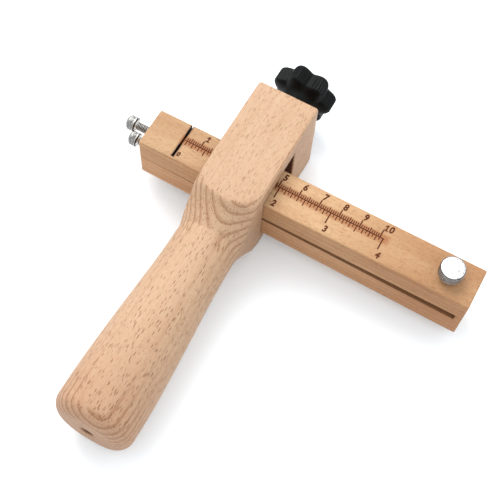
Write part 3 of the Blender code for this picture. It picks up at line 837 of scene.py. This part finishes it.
def ruler_marks():
    """The base line with millimetre marks above it and sixteenths of an inch below it."""
    points, faces = [], []
    start, stop = SLIT_X + SLIT_HALF + 0.1, RULER_ZERO + 102.0
    low, high = BASELINE_Y - BASELINE_WIDTH / 2, BASELINE_Y + BASELINE_WIDTH / 2
    stroke(points, faces, [(start, low), (stop, low), (stop, high), (start, high)])
    low, high = low - MARK_GAP, high + MARK_GAP
    for millimetre in range(3, 101):
        length, width = mark_size(millimetre, MILLIMETRE_MARKS)
        bar_mark(points, faces, RULER_ZERO + millimetre, high, high + length, width)
    for sixteenth in range(2, 65):
        length, width = mark_size(sixteenth, SIXTEENTH_MARKS)
        bar_mark(points, faces, RULER_ZERO + sixteenth * INCH / 16, low, low - length, width)
    return mesh_piece("ruler_ticks", points, faces)


def numeral(text, x, y, height):
    curve = bpy.data.curves.new("numeral_" + text, "FONT")
    curve.body = text
    curve.size = height / 0.70
    curve.align_x = "CENTER"
    curve.align_y = "CENTER"
    curve.extrude = (MARK_SUNK + MARK_PROUD) / 2
    curve.offset = 0.20
    curve.resolution_u = 3
    glyph = bpy.data.objects.new("numeral_" + text, curve)
    bpy.context.scene.collection.objects.link(glyph)
    graph = bpy.context.evaluated_depsgraph_get()
    graph.update()
    mesh = bpy.data.meshes.new_from_object(glyph.evaluated_get(graph))
    bpy.data.objects.remove(glyph, do_unlink=True)
    lift = (MARK_PROUD - MARK_SUNK) / 2
    points = [(x + v.co.x * 0.88 + NUMERAL_SLANT * v.co.y, y + v.co.y,
               upper_top(x + v.co.x) + lift + v.co.z) for v in mesh.vertices]
    faces = [tuple(f.vertices) for f in mesh.polygons]
    bpy.data.meshes.remove(mesh)
    return mesh_piece("numeral", points, faces)


def figure_one(x, y, height):
    """The figure 1 with its flag and foot."""
    points, faces = [], []
    half = height / 2
    for corners in (((-0.34, -half), (0.34, -half), (0.34, half), (-0.34, half)),
                    ((-1.15, half - 1.00), (-0.80, half - 1.40), (-0.35, half - 0.95), (-0.35, half - 0.10)),
                    ((-0.95, -half), (-0.35, -half), (-0.35, -half + 0.52), (-0.95, -half + 0.52)),
                    ((0.35, -half), (0.95, -half), (0.95, -half + 0.52), (0.35, -half + 0.52))):
        stroke(points, faces, [(x + u + NUMERAL_SLANT * v, y + v) for u, v in corners])
    return mesh_piece("numeral", points, faces)


marks = [ruler_marks()]
for centimetre in range(2, 10):
    marks.append(numeral(str(centimetre), RULER_ZERO + 10 * centimetre + 0.9, CENTIMETRE_ROW_Y,
                         CENTIMETRE_HEIGHT))
marks.append(figure_one(RULER_ZERO + 11.2, CENTIMETRE_ROW_Y, CENTIMETRE_HEIGHT))
marks.append(figure_one(RULER_ZERO + 101.0, CENTIMETRE_ROW_Y, CENTIMETRE_HEIGHT))
marks.append(numeral("0", RULER_ZERO + 103.2, CENTIMETRE_ROW_Y, CENTIMETRE_HEIGHT))
marks.append(figure_one(RULER_ZERO + INCH + 1.3, INCH_ROW_Y, INCH_HEIGHT))
for inch in range(2, 5):
    marks.append(numeral(str(inch), RULER_ZERO + INCH * inch + 1.3, INCH_ROW_Y, INCH_HEIGHT))
marks.append(numeral("0", RULER_ZERO + 3.2, -6.5, 2.2))
ruler = join("ruler_marks", marks)
place(ruler, burnt_ink, "upper_rail", "rail_beech")


# ---------------------------------------------------------------- screws

def threaded(axis, start, stop, radius, pitch, depth, centre, steps):
    """Rings of a screw thread: the radius follows a helix with flat-topped flanks."""
    count = max(8, int((stop - start) / pitch * 8))
    rings = []
    for k in range(count + 1):
        distance = start + (stop - start) * k / count
        fade = min(1.0, k / 4, (count - k) / 4)
        ring = []
        for i in range(steps):
            phase = (distance / pitch - i / steps) % 1.0
            groove = max(0.0, 1 - abs(phase - 0.5) / 0.40)
            reach = radius - depth * groove * fade
            angle = 2 * math.pi * i / steps
            ring.append(round_point(axis, distance, centre, reach, angle))
        rings.append(ring)
    return rings


def knurled(start, stop, count, radius, depth, teeth, twist, centre, axis, steps):
    """Rings of a band of knurling: grooves along the axis, or crossed ones where twist isn't 0."""
    rings = []
    for k in range(count + 1):
        distance = start + (stop - start) * k / count
        fade = min(1.0, k / 1.5, (count - k) / 1.5)
        ring = []
        for i in range(steps):
            angle = 2 * math.pi * i / steps
            turn = teeth * angle / (2 * math.pi)
            left = abs(math.remainder(turn + distance * twist, 1.0)) * 2
            right = abs(math.remainder(turn - distance * twist, 1.0)) * 2
            groove = max(0.0, 1 - min(left, right) / 0.55)
            reach = radius - depth * groove * fade
            ring.append(round_point(axis, distance, centre, reach, angle))
        rings.append(ring)
    return rings


def blade_screw(name, height):
    """Socket cap screw: knurled head with a hexagon socket, short neck and thread."""
    head_start = BAR_LEFT - 12.0
    head_stop = BAR_LEFT - 7.4
    centre = (0.0, height)
    steps = 144
    face = [(head_start, 2.1), (head_start + 0.08, 2.45), (head_start + 0.3, 2.85), (head_start + 0.6, 3.15),
            (head_start + 1.0, 3.36)]
    neck = [(head_stop - 0.25, 3.35), (head_stop - 0.08, 3.2), (head_stop, 3.0), (head_stop + 0.01, 2.3),
            (head_stop + 0.35, 2.02)]
    rings = turned_rings("X", face, centre, steps)
    rings += knurled(head_start + 1.3, head_stop - 0.35, 8, 3.5, 0.16, 36, 0.0, centre, "X", steps)
    rings += turned_rings("X", neck, centre, steps)
    rings += threaded("X", head_stop + 0.5, SLIT_X - 1.0, *M4_THREAD, centre, steps)
    rings += turned_rings("X", [(SLIT_X - 0.55, 1.5)], centre, steps)
    screw = loft(name, rings, 40.0)
    socket = turned("socket", "X", [(head_start - 1, 2.9), (head_start - 0.01, 1.85),
                                    (head_start + 0.25, 1.62), (head_start + 2.2, 1.62)], centre, 6)
    carve(screw, socket, sharp=40.0)
    return screw


place(blade_screw("upper_blade_screw_look", UPPER_SCREW_Z), zinc, "upper_blade_screw", "zinc_steel",
      "upper_blade_screw")
place(blade_screw("lower_blade_screw_look", LOWER_SCREW_Z), zinc, "lower_blade_screw", "zinc_steel",
      "lower_blade_screw")


def knurled_thumbscrew():
    """A thread, a collar on the upper rail, and a flat head with crossed knurling."""
    rest = upper_top(THUMB_X) + 0.3
    centre = (THUMB_X, 0.0)
    steps = 192
    head_low = rest + 2.1
    head_high = rest + 7.5
    radius = 5.7
    rings = turned_rings("Z", [(10.4, 1.5)], centre, steps)
    rings += threaded("Z", 10.9, rest - 0.4, *M4_THREAD, centre, steps)
    rings += turned_rings("Z", [(rest, 2.0), (rest + 0.02, 3.4), (rest + 0.2, 3.6), (head_low - 0.1, 3.6),
                                (head_low, 3.7), (head_low + 0.02, radius - 0.75),
                                (head_low + 0.12, radius - 0.55)], centre, steps)
    rings += knurled(head_low + 0.45, head_high - 0.75, 26, radius - 0.05, 0.30, 32, 0.8, centre, "Z", steps)
    crown = [(head_high - 0.66, radius - 0.08), (head_high - 0.45, radius - 0.26),
             (head_high - 0.20, radius - 0.62), (head_high - 0.04, radius - 0.98), (head_high, radius - 1.3),
             (head_high + 0.04, radius - 2.4), (head_high + 0.05, 1.2), (head_high + 0.05, 0.4)]
    rings += turned_rings("Z", crown, centre, steps)
    return loft("thumbscrew_look", rings, 35.0)


place(knurled_thumbscrew(), nickel, "thumbscrew", "nickel_plate", "thumbscrew")


# ---------------------------------------------------------------- clamp

def stud():
    """A nose that turns in the pad, the thread, and a plain end inside the knob."""
    centre = (CLAMP_Z, 0.0)
    rings = turned_rings("Y", [(12.2, 2.2), (12.6, 2.6), (13.8, 2.6), (15.0, 3.7)], centre, 40)
    rings += threaded("Y", 15.2, KNOB_HUB_Y - 0.3, *M8_THREAD, centre, 40)
    rings += turned_rings("Y", [(KNOB_HUB_Y, 4.0), (KNOB_RIM_Y + 4.8, 4.0)], centre, 40)
    return loft("clamp_stud_look", rings, 40.0)


place(stud(), stud_steel, "clamp_knob", "zinc_steel", "clamp_stud")


def knob_ring(y, tip, scallop, ribs, steps_per_lobe=56):
    """One outline of the star: broad ribbed lobes with smooth round scallops between them."""
    ring = []
    for i in range(KNOB_LOBES * steps_per_lobe):
        share = (i / steps_per_lobe + 0.5) % 1.0 - 0.5
        wave = (1 + math.cos(2 * math.pi * share)) / 2
        reach = scallop + (tip - scallop) * wave ** 0.8
        crest = min(1.0, max(0.0, (0.33 - abs(share)) / 0.04))
        groove = max(0.0, math.cos(2 * math.pi * share * 11.0)) ** 1.5
        reach -= ribs * crest * (1 - groove) * 0.34
        angle = 2 * math.pi * (i / steps_per_lobe) / KNOB_LOBES + KNOB_PHASE
        ring.append(along("Y", y, CLAMP_Z + reach * math.sin(angle), reach * math.cos(angle)))
    return ring


def star_knob():
    """A round hub that opens into the ribbed star, with a shallow boss on its face and the stud's bore."""
    hub, tip, scallop = 7.4, 15.5, 12.3
    low = KNOB_RIM_Y
    high = KNOB_RIM_Y + KNOB_RIM_LENGTH
    sections = [(KNOB_HUB_Y, hub - 0.5, hub - 0.5, 0), (KNOB_HUB_Y + 0.15, hub - 0.15, hub - 0.15, 0),
                (KNOB_HUB_Y + 0.5, hub, hub, 0)]
    for k in range(1, 7):
        share = k / 6
        sections.append((KNOB_HUB_Y + 0.5 + (low - 2.0 - KNOB_HUB_Y) * share, hub + 2.2 * share ** 1.6,
                         hub + 2.2 * share ** 1.6, 0))
    sections += [(low - 0.9, 10.6, 10.2, 0), (low - 0.3, 12.4, 10.9, 0),
                 (low + 0.1, tip - 1.5, scallop - 1.1, 0),
                 (low + 0.45, tip - 0.8, scallop - 0.55, 0.1), (low + 0.9, tip - 0.3, scallop - 0.2, 0.5),
                 (low + 1.4, tip, scallop, 1.0)]
    for k in range(1, 6):
        sections.append((low + 1.4 + (high - 2.9 - low) * k / 6, tip, scallop, 1.0))
    sections += [(high - 1.5, tip, scallop, 1.0), (high - 0.9, tip - 0.25, scallop - 0.2, 0.6),
                 (high - 0.4, tip - 0.8, scallop - 0.6, 0.1), (high - 0.08, tip - 1.7, scallop - 1.4, 0),
                 (high, tip - 2.6, scallop - 2.2, 0), (high + 0.35, 9.3, 9.3, 0), (high + 0.6, 8.6, 8.6, 0),
                 (high + 0.72, 6.0, 6.0, 0), (high + 0.75, 1.0, 1.0, 0)]
    knob = loft("star_knob_look", [knob_ring(*s) for s in sections], 40.0)
    bore_tool = turned("knob_bore", "Y", [(KNOB_HUB_Y - 1, 5.3), (KNOB_HUB_Y + 0.1, 4.4),
                                          (KNOB_HUB_Y + 0.4, 4.25), (KNOB_RIM_Y + 5.1, 4.25)],
                       (CLAMP_Z, 0.0), 40)
    carve(knob, bore_tool, sharp=40.0)
    return knob


place(star_knob(), black_plastic, "clamp_knob", "black_plastic", "star_knob")

for node, material, slot in (("clamp_insert", turned_brass, "brass"),
                             ("clamp_pad", turned_brass, "brass"),
                             ("upper_screw_insert", turned_brass, "brass"),
                             ("lower_screw_insert", turned_brass, "brass"),
                             ("thumbscrew_insert", turned_brass, "brass"),
                             ("blade", oiled_steel, "blade_steel")):
    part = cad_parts[node]
    part.data.materials.clear()
    part.data.materials.append(material)


# ---------------------------------------------------------------- studio

def studio_floor():
    shade = Shader("studio_floor")
    cloud = shade.noise(shade.millimetres(), 0.004, 2.0)
    shade.set(Base_Color=shade.mix(cloud, (0.905, 0.915, 0.93), (0.92, 0.93, 0.94)), Roughness=0.75,
              Specular_IOR_Level=0.2, Emission_Color=FLOOR_GLOW, Emission_Strength=0.12)
    corners = [(u * FLOOR_HALF, v * FLOOR_HALF, FLOOR_Z) for u, v in ((-1, -1), (1, -1), (1, 1), (-1, 1))]
    floor = mesh_piece("floor", corners, [(0, 1, 2, 3)])
    floor.data.materials.append(shade.material)


def sky_dome():
    """A white sky that is brightest along DOME_UP."""
    world = bpy.data.worlds.new("studio")
    bpy.context.scene.world = world
    world.use_nodes = True
    tree = world.node_tree
    upward = tree.nodes.new("ShaderNodeVectorMath")
    upward.operation = "DOT_PRODUCT"
    upward.inputs[1].default_value = DOME_UP
    tree.links.new(tree.nodes.new("ShaderNodeTexCoord").outputs["Generated"], upward.inputs[0])
    strength = tree.nodes.new("ShaderNodeMapRange")
    for index, value in enumerate(DOME_SHARE + DOME_STRENGTH, 1):
        strength.inputs[index].default_value = value
    tree.links.new(upward.outputs["Value"], strength.inputs[0])
    tree.nodes["Background"].inputs["Color"].default_value = DOME_COLOUR
    tree.links.new(strength.outputs[0], tree.nodes["Background"].inputs["Strength"])


def key_light():
    light = bpy.data.lights.new("key", "AREA")
    light.shape = "DISK"
    light.size = 1.0
    light.energy = 11.0
    light.color = (1.0, 0.99, 0.97)
    lamp = bpy.data.objects.new("key", light)
    bpy.context.scene.collection.objects.link(lamp)
    lamp.location = KEY_PLACE
    lamp.rotation_euler = (Vector(KEY_TARGET) - Vector(KEY_PLACE)).to_track_quat("-Z", "Y").to_euler()


def photo_camera():
    """The camera fitted to the ruler's ticks and the crossbar's corners."""
    camera_data = bpy.data.cameras.new("camera")
    camera_data.sensor_width = 36.0
    camera_data.lens = CAMERA_LENS
    camera_data.shift_x, camera_data.shift_y = CAMERA_SHIFT
    camera_data.clip_start = 0.01
    camera_data.clip_end = 20.0
    camera = bpy.data.objects.new("camera", camera_data)
    bpy.context.scene.collection.objects.link(camera)
    camera.location = CAMERA_PLACE
    camera.rotation_euler = Euler([math.radians(turn) for turn in CAMERA_TURN], "XYZ")
    bpy.context.scene.camera = camera
    bpy.context.scene.view_settings.view_transform = "Standard"


studio_floor()
sky_dome()
key_light()
photo_camera()
